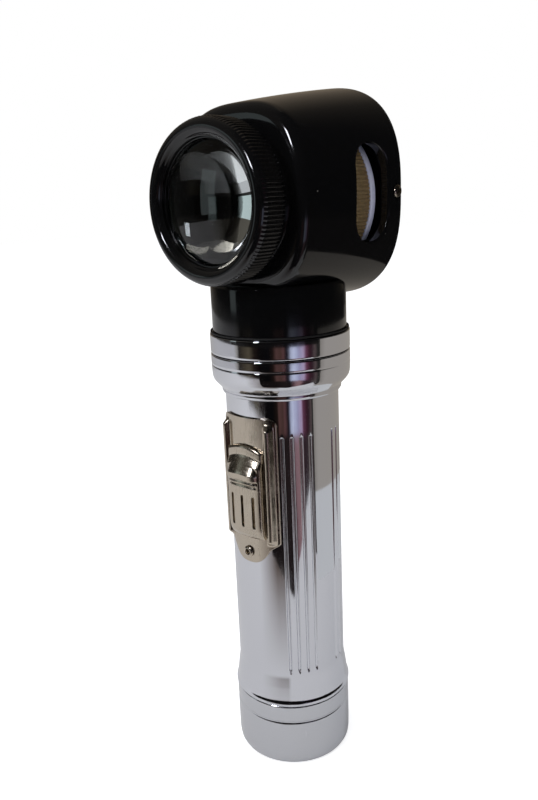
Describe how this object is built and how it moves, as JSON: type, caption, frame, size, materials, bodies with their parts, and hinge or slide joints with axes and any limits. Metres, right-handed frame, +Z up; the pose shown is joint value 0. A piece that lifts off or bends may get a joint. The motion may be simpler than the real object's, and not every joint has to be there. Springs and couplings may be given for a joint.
{
  "type": "hand-held illuminated viewing instrument",
  "caption": "Upright torch-type handle carrying a swivelling right-angle head with a knurled focusing ring, a large lens and a ribbed thumb wheel in side slots.",
  "frame": {"origin": "middle of the flat foot of the tail cap", "axes": "+Z up along the handle, -Y the way the lens looks, +X the side with the finger slot that the picture shows"},
  "size_m": [0.0632, 0.0559, 0.2229],
  "materials": {
    "bright_chrome": "mirror chrome plate on spun brass",
    "dull_chrome": "chrome plate dulled by handling",
    "warm_nickel": "nickel plate, slightly yellowed",
    "black_phenolic": "polished moulded phenolic",
    "brown_phenolic": "ribbed moulded phenolic",
    "ivory_plastic": "smooth cast plastic",
    "black_rubber": "moulded rubber",
    "clear_glass": "polished clear glass",
    "mirror_face": "polished plated sheet",
    "contact_brass": "turned or stamped brass",
    "tinned_steel": "tinned steel",
    "spring_steel": "drawn steel",
    "cell_wrapper": "printed wrapper over a metal can, without print",
    "vulcanised_fibre": "vulcanised fibre sheet"
  },
  "bodies": {
    "handle": {"battery_tube": "bright_chrome", "flared_collar": "bright_chrome", "collar_ring": "bright_chrome", "neck_gasket": "black_rubber", "switch_plate": "warm_nickel", "switch_rivet": "warm_nickel", "switch_bush": "vulcanised_fibre", "contact_strip": "contact_brass", "lower_cell_base": "tinned_steel", "lower_cell_case": "cell_wrapper", "lower_cell_cap": "contact_brass", "upper_cell_base": "tinned_steel", "upper_cell_case": "cell_wrapper", "upper_cell_cap": "contact_brass"},
    "tail_contact": {"tail_spring": "spring_steel", "tail_washer": "contact_brass"},
    "tail_cap": {"tail_cap": "dull_chrome"},
    "switch_slider": {"switch_slider": "warm_nickel", "slider_post": "contact_brass"},
    "head": {"head_body": "black_phenolic", "rear_cover": "black_phenolic", "rear_window": "clear_glass", "window_ring": "warm_nickel", "cover_screw_right": "warm_nickel", "cover_screw_left": "warm_nickel", "light_shield": "black_phenolic", "lamp_mirror": "mirror_face", "mirror_screw": "contact_brass", "detent_spring": "spring_steel", "lamp_plate": "vulcanised_fibre", "lamp_socket": "contact_brass", "lamp_contact": "contact_brass", "lamp_base": "contact_brass", "lamp_bulb": "clear_glass", "lamp_filament": "spring_steel", "reflector": "mirror_face"},
    "lens_carriage": {"lens_barrel": "black_phenolic", "guide_pin": "contact_brass", "front_lens": "clear_glass", "lens_retainer": "black_phenolic"},
    "focus_ring": {"focus_ring": "black_phenolic"},
    "selector_wheel": {"selector_wheel": "brown_phenolic", "index_band": "ivory_plastic", "wheel_glass": "clear_glass", "glass_clip": "spring_steel"}
  },
  "joints": [
    {"name": "tail_cap_slide", "type": "slide", "parent": "handle", "child": "tail_contact", "axis": [0, 0, -1], "range_m": [0, 0.009]},
    {"name": "tail_cap_turn", "type": "hinge", "parent": "tail_contact", "child": "tail_cap", "pos_m": [0, 0, 0], "axis": [0, 0, -1], "range_deg": [0, 1080]},
    {"name": "switch_slide", "type": "slide", "parent": "handle", "child": "switch_slider", "axis": [0, 0, 1], "range_m": [0, 0.0065]},
    {"name": "head_swivel", "type": "hinge", "parent": "handle", "child": "head", "pos_m": [0, 0, 0.1395], "axis": [0, 0, 1], "continuous": true},
    {"name": "focus_slide", "type": "slide", "parent": "head", "child": "lens_carriage", "axis": [0, -1, 0], "range_m": [-0.003, 0.003]},
    {"name": "focus_turn", "type": "hinge", "parent": "lens_carriage", "child": "focus_ring", "pos_m": [0, 0, 0.1894], "axis": [0, -1, 0], "range_deg": [-180, 180]},
    {"name": "wheel_turn", "type": "hinge", "parent": "head", "child": "selector_wheel", "pos_m": [0, 0, 0.1894], "axis": [0, -1, 0], "continuous": true}
  ],
  "couplings": [
    {"joint": "tail_cap_slide", "follows": "tail_cap_turn", "m_per_rad": 0.00047746},
    {"joint": "focus_slide", "follows": "focus_turn", "m_per_rad": 0.00095492}
  ]
}
